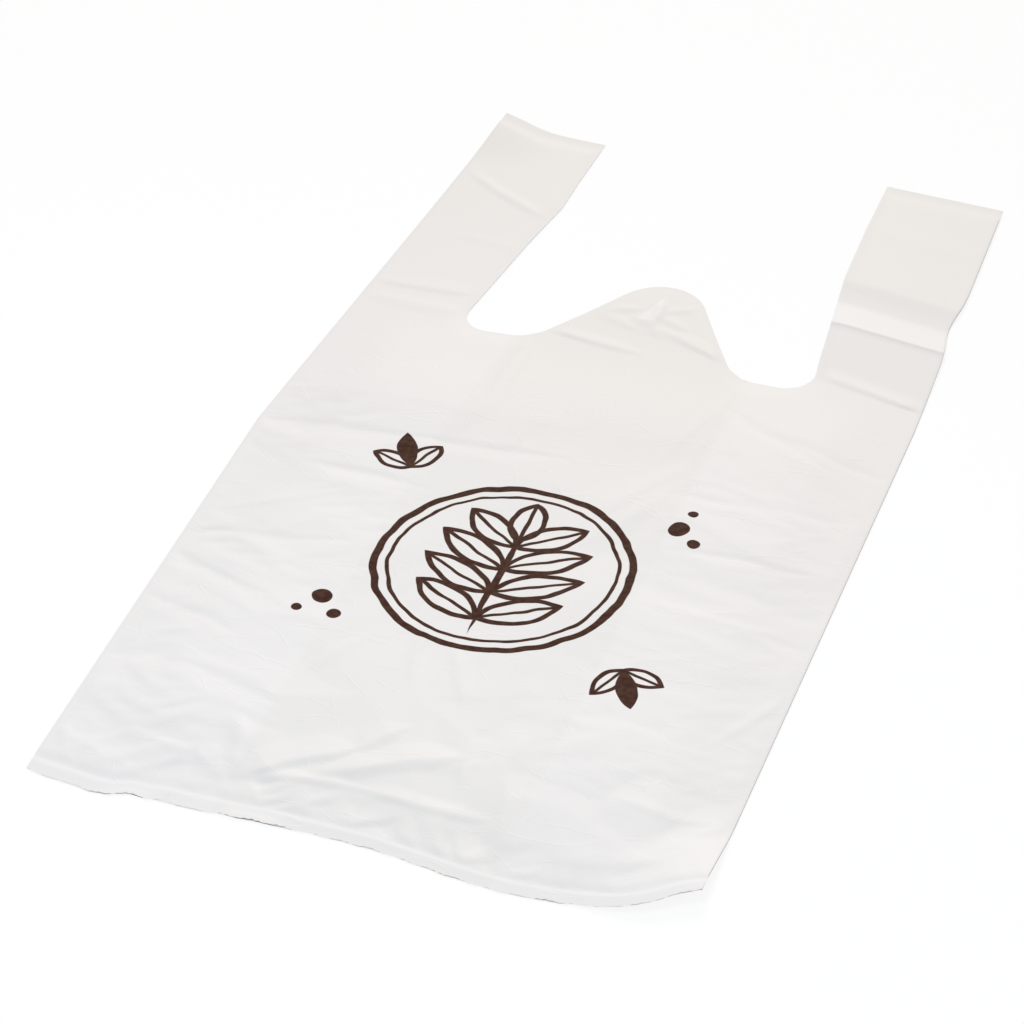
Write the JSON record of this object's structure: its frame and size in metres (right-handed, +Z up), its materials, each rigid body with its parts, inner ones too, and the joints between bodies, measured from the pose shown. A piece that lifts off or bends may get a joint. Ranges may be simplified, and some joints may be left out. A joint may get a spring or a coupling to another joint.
{
  "type": "plastic carrier bag",
  "caption": "Flat-lying vest-style carrier bag of thin white film, with pleated side gussets, two strap handles and a rounded tongue at the mouth.",
  "frame": {"origin": "middle of the bag's footprint, on the surface that it lies on", "axes": "+X across the bag to the right, +Y from the hem towards the straps, +Z up out of the front face"},
  "size_m": [0.3004, 0.552, 0.0118],
  "materials": {
    "white_film": "thin white blown polythene film, creased, with a weak silky shine and a brown line print on the front"
  },
  "bodies": {
    "root": {"carrier_bag": "white_film"}
  },
  "joints": []
}
